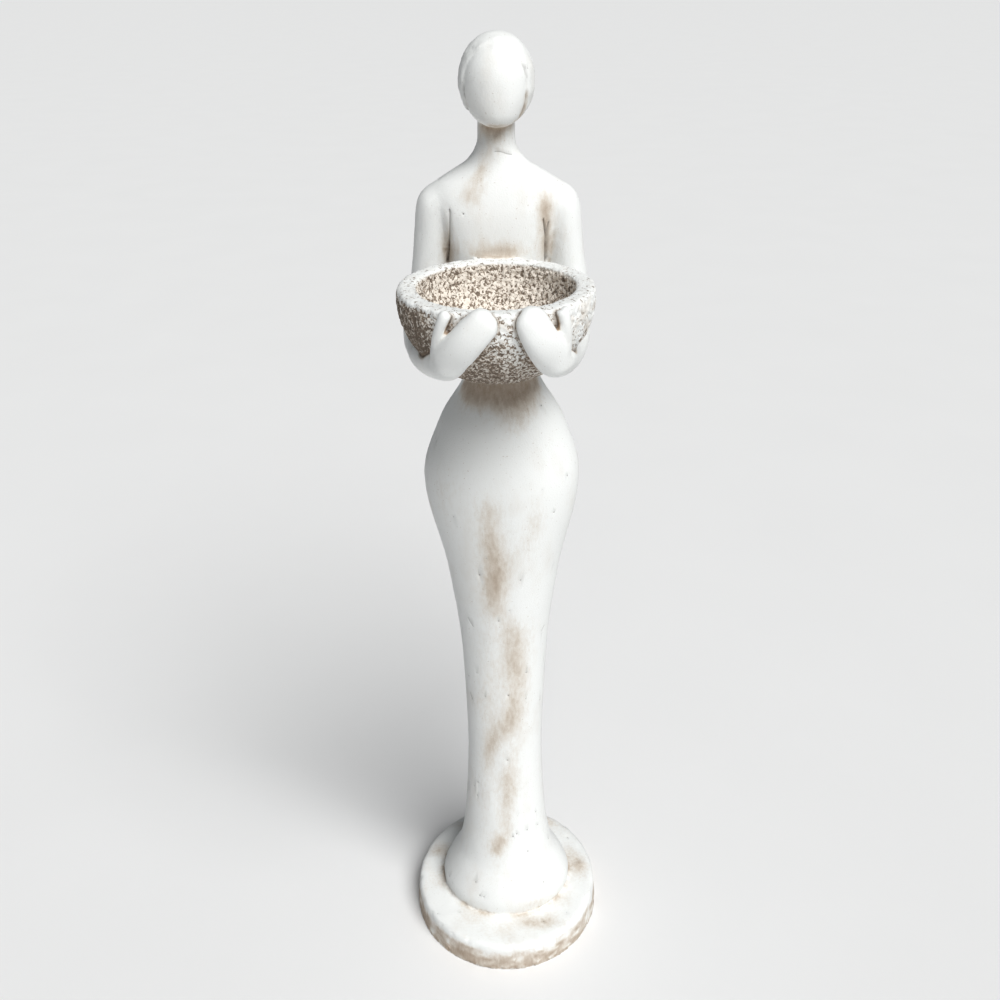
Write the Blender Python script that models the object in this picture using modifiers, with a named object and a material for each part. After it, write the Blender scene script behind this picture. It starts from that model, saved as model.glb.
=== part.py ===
"""A bird bath statue in cast stone: a tall, plain, faceless woman who holds a bowl in front of her.

The figure, the bowl and the round base are one casting, so they are one solid here.
Metres, +Z up, the front of the figure towards -Y, the origin under the middle of the base.
"""

import math

import bmesh
import bpy
from mathutils import Vector

# Overall sizes
TOTAL_HEIGHT = 1.200
BASE_RADIUS = 0.1350
BASE_TAPER = 0.0035
BASE_THICKNESS = 0.044
BASE_EDGE = 0.006

# The bowl, widest at its belly a little below the rim
BOWL_RADIUS = 0.0945
BOWL_HEIGHT = 0.0935
BOWL_BELLY = 0.012
BOWL_WALL = 0.020
BOWL_FLOOR = 0.026
BOWL_RIM_ROUND = 0.004
BOWL_SIDE = -0.0032

# How finely the free form is sampled and kept
SIDES = 48
BODY_RINGS = 120
LIMB_STEPS = 6
END_STEPS = 5
VOXEL = 0.0018
SMOOTHING_STEPS = 3
FIGURE_TRIANGLES = 7000
HAND_FINENESS = 0.007
BASE_SIDES = 72
BOWL_STEPS = 48
BOWL_ARC_STEPS = 10

# Every length of the free form is a share of the figure's height above the base, in metres at 1.156 m.
# Heights are measured from the base's top.
FORM_HEIGHT = 1.156
SHARE = (TOTAL_HEIGHT - BASE_THICKNESS) / FORM_HEIGHT

# The body: height, half-width, reach to the front, reach to the back, squareness of the section, lean to a side
BODY = (
    (-BASE_THICKNESS / 2, 0.0880, 0.0740, 0.0740, 2.0, 0.0),
    (0.014, 0.0940, 0.0785, 0.0790, 2.0, 0.0),
    (0.038, 0.0850, 0.0730, 0.0740, 2.0, 0.0),
    (0.078, 0.0665, 0.0585, 0.0600, 2.0, 0.0),
    (0.141, 0.0570, 0.0505, 0.0520, 2.0, 0.0),
    (0.276, 0.0508, 0.0450, 0.0460, 2.0, 0.0005),
    (0.426, 0.0547, 0.0485, 0.0510, 2.0, 0.0012),
    (0.556, 0.0690, 0.0590, 0.0670, 2.0, 0.0012),
    (0.681, 0.0923, 0.0690, 0.0850, 2.0, 0.0004),
    (0.751, 0.0725, 0.0585, 0.0660, 2.0, 0.0016),
    (0.821, 0.0390, 0.0400, 0.0380, 2.1, 0.0016),
    (0.886, 0.0460, 0.0370, 0.0380, 2.4, 0.0),
    (0.946, 0.0530, 0.0365, 0.0410, 2.8, 0.0),
    (0.981, 0.0620, 0.0350, 0.0400, 2.6, 0.0),
    (1.004, 0.0710, 0.0300, 0.0350, 2.3, 0.0),
    (1.018, 0.0635, 0.0260, 0.0320, 2.1, -0.0006),
    (1.029, 0.0425, 0.0225, 0.0285, 2.0, -0.0010),
    (1.040, 0.0265, 0.0200, 0.0255, 2.0, -0.0010),
    (1.058, 0.0190, 0.0185, 0.0225, 2.0, -0.0010),
    (1.101, 0.0190, 0.0190, 0.0220, 2.0, -0.0005),
)

# The head is an egg that leans forward to the chin
HEAD_LEVEL = 1.112
HEAD_RISE = 0.044
HEAD_FALL = 0.041
HEAD_HALF_WIDTH = 0.0380
HEAD_HALF_DEPTH = 0.0440
HEAD_FORWARD = 0.003
CHIN_FORWARD = 0.020

# An arm from the shoulder to the wrist: how far out, how far back, how high, and its radius
ARM = (
    (0.0480, 0.0030, 0.9960, 0.0140),
    (0.0610, 0.0030, 0.9940, 0.0215),
    (0.0665, 0.0030, 0.9660, 0.0208),
    (0.0708, 0.0030, 0.9360, 0.0200),
    (0.0765, 0.0030, 0.9010, 0.0197),
    (0.0810, -0.0020, 0.8690, 0.0197),
    (0.0805, -0.0220, 0.8590, 0.0192),
    (0.0748, -0.0600, 0.8605, 0.0185),
    (0.0660, -0.1020, 0.8665, 0.0181),
)
FOREARMS_FROM = 5

# A hand lies on the bowl: degrees round from the front, degrees below the rim, half-width, thickness
HANDS = {
    "right": (
        (-34.0, 32.0, 0.0170, 0.0162),
        (-25.8, 24.4, 0.0170, 0.0155),
        (-17.9, 16.0, 0.0160, 0.0148),
        (-12.0, 9.2, 0.0154, 0.0135),
        (-8.0, 5.0, 0.0146, 0.0120),
    ),
    "left": (
        (40.5, 32.5, 0.0170, 0.0162),
        (32.0, 25.6, 0.0170, 0.0155),
        (24.4, 15.6, 0.0162, 0.0148),
        (20.8, 9.3, 0.0157, 0.0135),
        (18.8, 5.0, 0.0150, 0.0120),
    ),
}

# A thumb on the bowl, from its root: the same two angles and its radius
THUMBS = {
    "right": ((-37.5, 27.0, 0.0085), (-33.2, 16.0, 0.0064), (-29.6, 8.0, 0.0061), (-27.1, 1.5, 0.0061)),
    "left": ((42.6, 29.0, 0.0085), (40.8, 18.0, 0.0064), (39.0, 8.5, 0.0061), (38.0, 1.8, 0.0061)),
}
THUMB_PROUD = 0.0040
LIMB_SQUARENESS = 2.2

# How far off the bowl and how far behind its middle the hands are looked for
HAND_REACH = 0.022
HAND_START = 0.045

# The rim's height, and how far the chest reaches forward behind it
RIM_HEIGHT = BASE_THICKNESS + 0.948 * SHARE
CHEST_FRONT = 0.0365 * SHARE
CHEST_CONTACT = 0.004

STONE = (0.80, 0.78, 0.74, 1.0)
STONE_ROUGHNESS = 0.9


def clear_scene():
    for obj in list(bpy.data.objects):
        bpy.data.objects.remove(obj)


def collection(name):
    made = bpy.data.collections.new(name)
    bpy.context.scene.collection.children.link(made)
    return made


def stone_material():
    material = bpy.data.materials.new("cast_stone")
    material.use_nodes = True
    shader = material.node_tree.nodes["Principled BSDF"]
    shader.inputs["Base Color"].default_value = STONE
    shader.inputs["Roughness"].default_value = STONE_ROUGHNESS
    return material


def add_mesh(name, bm, where):
    mesh = bpy.data.meshes.new(name)
    bm.to_mesh(mesh)
    bm.free()
    obj = bpy.data.objects.new(name, mesh)
    where.objects.link(obj)
    return obj


def add_guide(name, bm, where):
    """A shape that only joins or cuts the statue."""
    obj = add_mesh(name, bm, where)
    obj.hide_render = True
    obj.display_type = "WIRE"
    return obj


def slope(rows, i, column):
    """The slope of the smooth curve at row i, nought at the ends and where the rows turn."""
    if i in (0, len(rows) - 1):
        return 0.0
    before = (rows[i][column] - rows[i - 1][column]) / (rows[i][0] - rows[i - 1][0])
    after = (rows[i + 1][column] - rows[i][column]) / (rows[i + 1][0] - rows[i][0])
    return 0.0 if before * after <= 0 else 2 * before * after / (before + after)


def row_at(rows, height):
    """The row at this height, on a smooth curve through the rows that never overshoots them."""
    k = next(i for i in range(len(rows) - 1) if height <= rows[i + 1][0] + 1e-9)
    span = rows[k + 1][0] - rows[k][0]
    t = (height - rows[k][0]) / span
    found = []
    for column in range(1, len(rows[0])):
        low, high = rows[k][column], rows[k + 1][column]
        value = (2 * t**3 - 3 * t**2 + 1) * low + (3 * t**2 - 2 * t**3) * high
        lean = (t**3 - 2 * t**2 + t) * slope(rows, k, column) + (t**3 - t**2) * slope(rows, k + 1, column)
        found.append(value + span * lean)
    return found


def on_base(side, back, height):
    """A place of the free form, which stands on the base's top."""
    return Vector((side, back, height)) * SHARE + Vector((0, 0, BASE_THICKNESS))


def ring(centre, across, outward, square):
    """An ellipse, or squarer, about a centre, with two half-axes."""
    points = []
    for i in range(SIDES):
        angle = 2 * math.pi * i / SIDES
        c, s = math.cos(angle), math.sin(angle)
        a = math.copysign(abs(c) ** (2 / square), c)
        b = math.copysign(abs(s) ** (2 / square), s)
        points.append(centre + across * a + outward * b)
    return points


def loft(name, rings, where):
    """A closed skin over rings of equally many points."""
    bm = bmesh.new()
    made = [[bm.verts.new(p) for p in points] for points in rings]
    for low, high in zip(made, made[1:]):
        for i in range(SIDES):
            j = (i + 1) % SIDES
            bm.faces.new((low[i], low[j], high[j], high[i]))
    bm.faces.new(reversed(made[0]))
    bm.faces.new(made[-1])
    return add_mesh(name, bm, where)


def body(where):
    low, high = BODY[0][0], BODY[-1][0]
    rings = []
    for i in range(BODY_RINGS + 1):
        height = low + (high - low) * i / BODY_RINGS
        half_width, front, back, square, side = row_at(BODY, height)
        centre = on_base(side, (back - front) / 2, height)
        across = Vector((half_width * SHARE, 0, 0))
        rings.append(ring(centre, across, Vector((0, (front + back) / 2 * SHARE, 0)), square))
    return loft("body", rings, where)


def head(where):
    bm = bmesh.new()
    bmesh.ops.create_uvsphere(bm, u_segments=SIDES, v_segments=SIDES // 2, radius=1.0)
    for vert in bm.verts:
        x, y, z = vert.co
        low = max(0.0, -z)
        height = HEAD_LEVEL + z * (HEAD_FALL if low else HEAD_RISE)
        depth = y * HEAD_HALF_DEPTH - HEAD_FORWARD - CHIN_FORWARD * low**2
        vert.co = on_base(x * HEAD_HALF_WIDTH, depth, height)
    return add_mesh("head", bm, where)


def bowl_centre():
    """The middle of the rim's plane. The bowl's back is let a little into the chest."""
    return Vector((BOWL_SIDE, CHEST_CONTACT - CHEST_FRONT - BOWL_RADIUS, RIM_HEIGHT))


def on_bowl(around, below, proud):
    """A place this far off the bowl's skin, at degrees round from the front and degrees below the rim."""
    around, below = math.radians(around), math.radians(below)
    c, s, deep = math.cos(below), math.sin(below), BOWL_HEIGHT - BOWL_BELLY
    square = (c / BOWL_RADIUS) ** 2 + (s / deep) ** 2
    linear = s * BOWL_BELLY / deep**2
    rest = 1 - (BOWL_BELLY / deep) ** 2
    level = (linear + math.sqrt(linear**2 + square * rest)) / square + proud
    return bowl_centre() + Vector((math.sin(around) * c, -math.cos(around) * c, -s)) * level


def through(values, i, t):
    """A smooth curve through the values, between the values i and i + 1."""
    a = values[max(i - 1, 0)]
    b, c = values[i], values[i + 1]
    d = values[min(i + 2, len(values) - 1)]
    return 0.5 * (2 * b + (c - a) * t + (2 * a - 5 * b + 4 * c - d) * t**2 + (3 * b - a - 3 * c + d) * t**3)


def limb(name, places, widths, depths, where):
    """A limb through these places with round ends. Its depth is measured away from the bowl."""
    stations = []
    for i in range(len(places) - 1):
        for step in range(LIMB_STEPS):
            t = step / LIMB_STEPS
            stations.append([through(values, i, t) for values in (places, widths, depths)])
    stations.append([places[-1], widths[-1], depths[-1]])
    rings = []
    last = len(stations) - 1
    for i, (place, width, depth) in enumerate(stations):
        along = (stations[min(i + 1, last)][0] - stations[max(i - 1, 0)][0]).normalized()
        away = place - bowl_centre()
        outward = (away - along * away.dot(along)).normalized()
        across = along.cross(outward)
        shells = [(0.0, 1.0)]
        if i in (0, last):
            turns = [math.radians(80 * k / END_STEPS) for k in range(END_STEPS + 1)]
            shells = [(math.sin(a), math.cos(a)) for a in turns]
        if i == 0:
            shells = [(-s, c) for s, c in reversed(shells)]
        for shift, size in shells:
            centre = place + along * width * shift
            rings.append(ring(centre, across * width * size, outward * depth * size, LIMB_SQUARENESS))
    return loft(name, rings, where)


def arm(side, where):
    """An arm with its hand, from the shoulder to the finger tips."""
    flip = {"left": 1, "right": -1}[side]
    places = [on_base(flip * out, back, height) for out, back, height, _ in ARM]
    for place in places[FOREARMS_FROM:]:
        place.x += BOWL_SIDE
    places += [on_bowl(around, below, 0.0) for around, below, _, _ in HANDS[side]]
    widths = [radius * SHARE for *_, radius in ARM] + [width * SHARE for _, _, width, _ in HANDS[side]]
    depths = [radius * SHARE for *_, radius in ARM] + [depth * SHARE for *_, depth in HANDS[side]]
    return limb("arm_" + side, places, widths, depths, where)


def thumb(side, where):
    places = [on_bowl(around, below, THUMB_PROUD) for around, below, _ in THUMBS[side]]
    radii = [radius * SHARE for *_, radius in THUMBS[side]]
    return limb("thumb_" + side, places, radii, radii, where)


def joined(name, pieces, where):
    """One object that holds the meshes of all the pieces."""
    bm = bmesh.new()
    for piece in pieces:
        bm.from_mesh(piece.data)
        bpy.data.objects.remove(piece)
    return add_mesh(name, bm, where)


def one_skin(pieces, where):
    """One mesh over all the pieces, with the soft creases that a casting has where forms meet."""
    skin = joined("skin", pieces, where)
    remesh = skin.modifiers.new("one_skin", "REMESH")
    remesh.mode = "VOXEL"
    remesh.voxel_size = VOXEL
    soften = skin.modifiers.new("soften", "SMOOTH")
    soften.factor = 0.5
    soften.iterations = SMOOTHING_STEPS
    graph = bpy.context.evaluated_depsgraph_get()
    mesh = bpy.data.meshes.new_from_object(skin.evaluated_get(graph))
    bpy.data.objects.remove(skin)
    return mesh


def figure(where):
    """The woman without her bowl, in few faces, kept finer where her hands are."""
    pieces = [body(where), head(where)]
    for side in ("left", "right"):
        pieces += [arm(side, where), thumb(side, where)]
    obj = bpy.data.objects.new("statue", one_skin(pieces, where))
    where.objects.link(obj)
    centre = bowl_centre()
    hands, rest = [], []
    for vert in obj.data.vertices:
        near = (vert.co - centre).length < BOWL_RADIUS + HAND_REACH and vert.co.y < centre.y + HAND_START
        (hands if near else rest).append(vert.index)
    group = obj.vertex_groups.new(name="plain")
    group.add(rest, 1.0, "REPLACE")
    group.add(hands, 0.5, "REPLACE")
    fewer = obj.modifiers.new("fewer_faces", "DECIMATE")
    fewer.ratio = min(1.0, FIGURE_TRIANGLES / (2 * len(obj.data.polygons)))
    fewer.vertex_group = group.name
    fewer.vertex_group_factor = HAND_FINENESS
    return obj


def base(where):
    bm = bmesh.new()
    bmesh.ops.create_cone(
        bm,
        cap_ends=True,
        segments=BASE_SIDES,
        radius1=BASE_RADIUS,
        radius2=BASE_RADIUS - BASE_TAPER,
        depth=BASE_THICKNESS,
    )
    bmesh.ops.translate(bm, verts=bm.verts, vec=(0, 0, BASE_THICKNESS / 2))
    top_edges = [e for e in bm.edges if all(v.co.z > BASE_THICKNESS / 2 for v in e.verts)]
    bmesh.ops.bevel(bm, geom=top_edges, offset=BASE_EDGE, segments=3, profile=0.5, affect="EDGES")
    return add_guide("base", bm, where)


def arc(centre, radii, start, end, count):
    """Points of an arc in the X-Z plane, angles in degrees from +X towards +Z."""
    points = []
    for i in range(count + 1):
        angle = math.radians(start + (end - start) * i / count)
        x, z = centre[0] + radii[0] * math.cos(angle), centre[1] + radii[1] * math.sin(angle)
        points.append(Vector((max(x, 0), 0, z)))
    return points


def turned(name, profile, where):
    """A profile in the X-Z plane turned about Z. At +X it runs from the top down."""
    bm = bmesh.new()
    verts = [bm.verts.new(p) for p in profile]
    for a, b in zip(verts, verts[1:]):
        bm.edges.new((a, b))
    obj = add_guide(name, bm, where)
    screw = obj.modifiers.new("turn", "SCREW")
    screw.steps = screw.render_steps = BOWL_STEPS
    screw.use_merge_vertices = True
    screw.merge_threshold = 1e-5
    obj.location = bowl_centre()
    return obj


def rim_turn():
    """How far above its widest level the bowl's outside reaches, in degrees of its ellipse."""
    return math.degrees(math.asin((BOWL_BELLY - BOWL_RIM_ROUND) / (BOWL_HEIGHT - BOWL_BELLY)))


def rim_radius():
    return BOWL_RADIUS * math.cos(math.radians(rim_turn()))


def bowl(where):
    """The bowl's outside, a full, round shape with a flat, round-edged rim, solid within."""
    ease = BOWL_RIM_ROUND
    profile = [Vector((0, 0, 0))]
    profile += arc((rim_radius() - ease, -ease), (ease, ease), 90, 0, 2)
    radii = (BOWL_RADIUS, BOWL_HEIGHT - BOWL_BELLY)
    profile += arc((0, -BOWL_BELLY), radii, rim_turn(), -90, BOWL_ARC_STEPS)[1:]
    return turned("bowl", profile, where)


def hollow(where):
    """What is cut from the bowl: a half egg that runs on above the rim, its mouth eased outwards."""
    ease = BOWL_RIM_ROUND
    radius = rim_radius() - BOWL_WALL
    sunk = BOWL_HEIGHT - BOWL_FLOOR - ease
    profile = [Vector((0, 0, BOWL_WALL)), Vector((radius + ease, 0, BOWL_WALL))]
    profile += arc((radius + ease, -ease), (ease, ease), 90, 180, 2)
    profile += arc((0, -ease), (radius, sunk), 0, -90, BOWL_ARC_STEPS)[1:]
    return turned("hollow", profile, where)


def boolean(obj, other, operation):
    modifier = obj.modifiers.new(operation.lower() + "_" + other.name, "BOOLEAN")
    modifier.object = other
    modifier.operation = operation
    modifier.solver = "EXACT"


def main():
    clear_scene()
    model = collection("bird_bath_statue")
    cutters = collection("cutters")
    statue = figure(model)
    boolean(statue, base(cutters), "UNION")
    boolean(statue, bowl(cutters), "UNION")
    boolean(statue, hollow(cutters), "DIFFERENCE")
    statue.data.materials.append(stone_material())


main()
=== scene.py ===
import math

import bmesh
import bpy
import numpy as np
from mathutils import Matrix, Vector, noise
from mathutils.bvhtree import BVHTree
from mathutils.kdtree import KDTree


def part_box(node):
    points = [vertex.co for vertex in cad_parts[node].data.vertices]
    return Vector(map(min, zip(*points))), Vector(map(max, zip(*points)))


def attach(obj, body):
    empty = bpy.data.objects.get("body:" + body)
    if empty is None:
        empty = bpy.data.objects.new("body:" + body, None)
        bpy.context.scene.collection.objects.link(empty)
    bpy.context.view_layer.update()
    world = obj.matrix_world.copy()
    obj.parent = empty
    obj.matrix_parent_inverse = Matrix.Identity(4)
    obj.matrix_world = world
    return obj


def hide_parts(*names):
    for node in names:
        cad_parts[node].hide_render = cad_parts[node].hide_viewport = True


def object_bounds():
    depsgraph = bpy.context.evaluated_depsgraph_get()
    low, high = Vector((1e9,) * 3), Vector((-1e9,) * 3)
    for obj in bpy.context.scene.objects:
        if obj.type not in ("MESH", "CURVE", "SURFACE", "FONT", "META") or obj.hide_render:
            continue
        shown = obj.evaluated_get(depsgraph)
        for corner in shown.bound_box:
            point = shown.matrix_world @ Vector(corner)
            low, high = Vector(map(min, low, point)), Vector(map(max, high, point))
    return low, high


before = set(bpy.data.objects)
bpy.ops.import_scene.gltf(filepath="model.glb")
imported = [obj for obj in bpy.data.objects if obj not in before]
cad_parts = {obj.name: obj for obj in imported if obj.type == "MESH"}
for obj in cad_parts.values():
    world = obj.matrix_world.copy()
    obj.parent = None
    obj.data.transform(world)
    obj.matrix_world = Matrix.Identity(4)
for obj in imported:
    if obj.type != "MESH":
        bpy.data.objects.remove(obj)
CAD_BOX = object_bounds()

# The solid's main sizes, in metres
BOWL_CENTRE = np.array((-0.0032, -0.1270, 0.9920))
BOWL_RADIUS = 0.0945
BOWL_HEIGHT = 0.0935
BOWL_BELLY = 0.012
BOWL_BELOW_BELLY = BOWL_HEIGHT - BOWL_BELLY
BOWL_WALL = 0.020
BOWL_FLOOR = 0.026
BOWL_RIM_ROUND = 0.004
RIM_RADIUS = 0.0940
RIM_INNER = RIM_RADIUS - BOWL_WALL
BASE_THICKNESS = 0.044
BASE_TAPER = 0.0035
BASE_EDGE = 0.006
BASE_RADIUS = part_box("statue")[1].x

# Each hand lies on the bowl: degrees round from the front, degrees below the rim, half-width, thickness
HANDS = (
    (
        (-25.8, 24.4, 0.0170, 0.0155),
        (-17.9, 16.0, 0.0160, 0.0148),
        (-12.0, 9.2, 0.0154, 0.0135),
        (-8.0, 5.0, 0.0146, 0.0120),
    ),
    (
        (32.0, 25.6, 0.0170, 0.0155),
        (24.4, 15.6, 0.0162, 0.0148),
        (20.8, 9.3, 0.0157, 0.0135),
        (18.8, 5.0, 0.0150, 0.0120),
    ),
)

# Each thumb: degrees round from the front, degrees below the rim, radius
THUMBS = (
    ((-36.3, 27.0, 0.0068), (-33.6, 16.0, 0.0047), (-30.0, 8.0, 0.0053), (-27.3, 1.5, 0.0058)),
    ((42.0, 29.0, 0.0078), (40.0, 18.0, 0.0058), (37.8, 8.5, 0.0060), (36.6, 1.8, 0.0062)),
)
THUMB_PROUD = 0.0034

# The hands' cross-section, what of the solid's skin belongs to them, and where their shaping fades out
HAND_SQUARENESS = 2.7
HAND_REACH = 0.022
HAND_PROUD = 0.0004
HAND_SUNK = 0.002
HAND_END_DEGREES = (30.0, 24.0)
HAND_RIM_DEGREES = (0.0, 2.0)
HAND_FACING = (0.0, 0.4)

# How finely the skin is made, evened out and kept
WELD = 1e-5
VOXEL = 0.0013
SMOOTHING = 0.5
FINE_STEPS = 8
SOFT_STEPS = 60
BEND_STEPS = 6
SHELTER_STEPS = 2
FACET_DEPTH = 0.0003
FACET_SHARPNESS = 4
FEATURE_REACH = 0.002
FEATURE_CUTS = 3
LINE_REACH = 0.030
SKIN_TRIANGLES = 190000
DETAIL_LEVELS = 4
DETAIL_FINENESS = 0.00001

# When faces are dropped, the bowl keeps all its detail, other fine forms this share, and the hair less.
# Lines count as this wide, and a bend counts in full from here on
FORM_DETAIL = 0.75
HAIR_DETAIL = 0.5
LINE_DETAIL_WIDTH = 0.003
BEND_DETAIL = 0.0004

# A stretch that keeps a noise's lumps round
EVEN = (1, 1, 1)

# Layers of each noise: size of its lumps, seed, strength, stretch
NOISES = {
    "bowl crumbs": ((0.0034, 3, 1.0, EVEN), (0.0019, 4, 0.55, EVEN)),
    "bowl swell": ((0.0140, 5, 1.0, EVEN),),
    "rim wear": ((0.0085, 6, 1.0, EVEN),),
    "casting swell": ((0.0450, 11, 0.00035, EVEN), (0.0130, 12, 0.00014, EVEN)),
    "hair lumps": ((0.0080, 13, 1.0, (1, 1, 1.6)), (0.0038, 14, 0.7, EVEN)),
    "slot crumbs": ((0.0030, 15, 1.1, EVEN),),
    "base swell": ((0.0170, 21, 0.00050, EVEN), (0.0060, 22, 0.00025, EVEN)),
    "base chips": ((0.0120, 23, 1.0, EVEN), (0.0045, 24, 0.4, EVEN)),
    "hem plaster": ((0.0075, 25, 1.0, EVEN), (0.0032, 26, 0.5, EVEN)),
    "patina breaks": ((0.0110, 31, 0.30, (0.7, 0.7, 1.6)), (0.0040, 32, 0.20, EVEN)),
    "leg clouds": ((0.0500, 33, 1.0, (0.7, 0.7, 1.5)),),
    "hem patina": ((0.0140, 35, 1.0, EVEN),),
    "side smears": ((0.0200, 36, 1.0, (1, 1, 0.35)), (0.0060, 37, 0.4, (1, 1, 0.4))),
    "top clouds": ((0.0240, 38, 1.0, EVEN), (0.0080, 39, 0.5, EVEN)),
    "hairline breaks": ((0.0090, 41, 1.0, EVEN),),
}

# How far each step of the seed moves a layer
SEED_STEP = (17.3, -5.1, 9.7)

# What counts as the bowl: gaps to its outside and its hollow, and levels and radii of its rim
SHELL_GAP = (0.0016, 0.0007)
INNER_GAP = (0.0022, 0.0012)
HOLLOW_GAP = (0.0024, 0.0008)
SHELL_TOP = 0.0005
RIM_TOP = 0.0015
RIM_TOP_AT_CHEST = 0.0003
CHEST_AT_RIM = BOWL_CENTRE[1] + 0.06
RIM_BAND = 0.006
RIM_SPARE = 0.001
RIM_OUTER = (RIM_RADIUS + 0.0012, RIM_RADIUS + 0.0004)
RIM_WIDE = (RIM_INNER - 0.0005, RIM_INNER + 0.0015)
RIM_LOW = (-0.0055, -0.0020)

# The bowl's relief: pits between crumbs, a slow swell, and the worn edges of its rim
CRUMB_SHARPNESS = 2.6
CRUMB_SHARE = 0.06
CRUMB_DRIFT = 0.15
PIT_DEPTH = 0.0012
PIT_DEEPER_INSIDE = 0.0006
RIM_SMOOTHER = 0.55
BOWL_SWELL = 0.0006
RIM_EDGE_WIDTH = 0.0035
RIM_EDGE_LEVELS = (-0.009, -0.002)
RIM_WEAR = 0.0011
RIM_WORN = 0.0003

# How brown the bowl is: more on her right and low down, less on her left. Besides its own brown, this paints
# shade on her right and low down on the outside, and paints light on her left, outside and in the hollow
OUTSIDE_BROWN = 0.55
RIGHT_BROWN = 0.35
RIGHT_SIDE = (-0.50, -0.75)
LEFT_PALER = 0.36
LOW_BROWN = 0.55
LOW_FROM = 0.4
UNDER_RIM = (-0.02, 0.11)
INSIDE_BROWN = 0.450
INSIDE_LEFT_PALER = 0.05
RIM_BROWN = 0.18

# The face is a smooth oval, let a little into a cap of hair
FACE_ACROSS = -0.0016
FACE_LEVEL = 1.1510
FACE_HALF_WIDTH = 0.0312
FACE_RISE = 0.0362
FACE_FALL = 0.0340
FACE_SQUARENESS = 2.5
FACE_BORDER = (1.06, 0.94)
FACE_SUNK = 0.0017
CHIN_LEVEL = 1.118
CHIN_FADE = (CHIN_LEVEL, CHIN_LEVEL + 0.017)
HAIR_END = 1.130
HAIR_SLOPE = 0.30
HAIR_FRONT = 0.030
HAIR_FADE = (-0.002, 0.014)
HEAD_FROM = CHIN_LEVEL - 0.01
HAIR_RELIEF = 0.0013
HAIR_SUNK = 0.40
HAIR_FAR_FROM_FACE = 0.35
HAIR_NEAR_FACE = 0.65
HAIR_NEAR_WIDTH = 0.012

# The line round the face: its groove, and where it has kept its brown
HAIRLINE_DEPTH = 0.0010
HAIRLINE_WIDTH = 0.0015
HAIRLINE_FROM = (CHIN_LEVEL + 0.004, CHIN_LEVEL + 0.012)
HAIRLINE_SIDES = (0.018, 0.026)
HAIRLINE_FOOT = (1.122, 1.130)
HAIRLINE_HEAD = (1.178, 1.166)
HAIRLINE_BREAKS = (-0.10, 0.35)
HAIRLINE_DARK_WIDTH = 0.0012

# A surface begins to face the front at the first of these, and does fully at the second: its normal's y
FACES_FRONT = (-0.2, -0.7)

# A slow, shallow groove that sways down the front of the legs
GROOVE_DEPTH = 0.0008
GROOVE_WIDTH = 0.012
GROOVE_MIDDLE = -0.006
GROOVE_SWAY = 0.010
GROOVE_WAVE = 0.075
GROOVE_FOOT = (0.12, 0.20)
GROOVE_HEAD = (0.76, 0.68)

# Where the arms meet the chest the casting has deep slots: across, up, half-width, darkness
SLOTS = (
    (
        (-0.0488, 1.0385, 0.0004, 0.30),
        (-0.0499, 1.0200, 0.0006, 0.55),
        (-0.0516, 1.0000, 0.0009, 0.85),
        (-0.0538, 0.9800, 0.0010, 0.85),
    ),
    ((0.0488, 1.0105, 0.0013, 0.70), (0.0491, 1.0020, 0.0017, 0.72), (0.0497, 0.9830, 0.0020, 0.76)),
    ((0.0455, 1.0280, 0.0005, 0.55), (0.0488, 1.0105, 0.0013, 0.70), (0.0510, 1.0240, 0.0005, 0.55)),
)
SLOT_DEPTH = 0.0026
SLOT_FOOT = (0.975, 0.985)
SLOT_BACK = 0.01
SLOT_FRONT = -0.06
SLOT_EDGE = 0.02
SLOT_DARK_MEAN = 0.85
SLOT_DARK_LEAST = 0.15

# The chest, where it stands behind the bowl between the arms
CHEST_FRONT = (-0.10, -0.07)
CHEST_FOOT = (0.960, 0.985)
CHEST_HEAD = (1.075, 1.060)
CHEST_SURFACE = -0.075
CHEST_LIT = 0.75

# The seam between the bowl and what holds it, and its thin line where the rim meets the chest
SEAM_REACH = 0.012
SEAM_DEPTH = 0.0009
SEAM_WIDTH = 0.0013
CHEST_LINE = 0.92
CHEST_LINE_WIDTH = 0.0012
CHEST_LINE_HALF_LENGTH = 0.045

# Hairline cracks and scratches on the front: points across and up
CRACKS = (
    ((-0.0024, 1.0923), (0.0020, 1.0922), (0.0055, 1.0912), (0.0098, 1.0895), (0.0140, 1.0884)),
    ((-0.0437, 0.5420), (-0.0405, 0.5352), (-0.0375, 0.5318)),
    ((0.0480, 0.5165), (0.0515, 0.5225)),
    ((-0.0445, 0.4120), (-0.0420, 0.4040)),
)
CRACK_WIDTH = 0.00045
CRACK_DEPTH = 0.0005
CRACK_DARK = 0.5
FIGURE_FRONT = -0.08

# Small air holes that show on the front: across, up, radius
FRONT_HOLES = (
    (-0.0032, 1.1358, 0.0009),
    (0.0099, 0.1731, 0.0012),
    (0.0155, 0.1775, 0.0010),
    (0.0298, 0.1788, 0.0010),
    (-0.0060, 0.5490, 0.0010),
    (0.0026, 0.3120, 0.0011),
    (-0.0390, 0.0745, 0.0010),
    (-0.0330, 0.0735, 0.0010),
    (-0.0450, 0.0900, 0.0009),
    (0.0662, 0.9020, 0.0010),
)

# More air holes all over, except on the bowl
RANDOM_HOLES = 170
HOLE_SEED = 7
HOLE_SIZES = (0.0005, 0.0011)
HOLE_DEPTH = 0.9
HOLE_DARK = 0.7
OFF_BOWL = 0.1

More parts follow.
